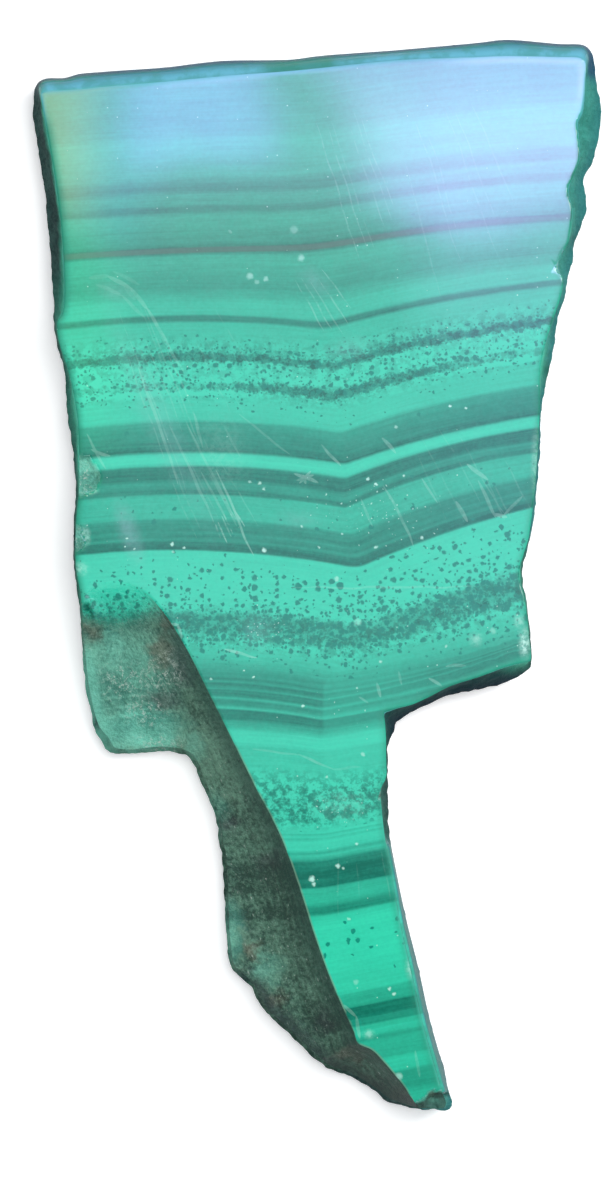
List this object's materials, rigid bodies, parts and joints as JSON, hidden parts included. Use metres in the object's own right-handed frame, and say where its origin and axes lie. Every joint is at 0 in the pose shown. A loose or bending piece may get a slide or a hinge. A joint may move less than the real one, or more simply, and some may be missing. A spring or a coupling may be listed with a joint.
{
  "type": "polished malachite slab",
  "caption": "Flat slab of banded green malachite with a polished face, rough broken edges, a ledge and a long tapering tail beside a scooped break.",
  "frame": {"origin": "middle of the slab's footprint, on the plane of its sawn back", "axes": "+Z out of the polished face, +Y along the slab's length from the tail's tip to the wide end, +X across it towards the ledge side"},
  "size_m": [0.057, 0.1074, 0.009],
  "materials": {
    "malachite": "banded green malachite, polished on the face, rough and dull on the broken edges"
  },
  "bodies": {
    "root": {"malachite_slab": "malachite"}
  },
  "joints": []
}
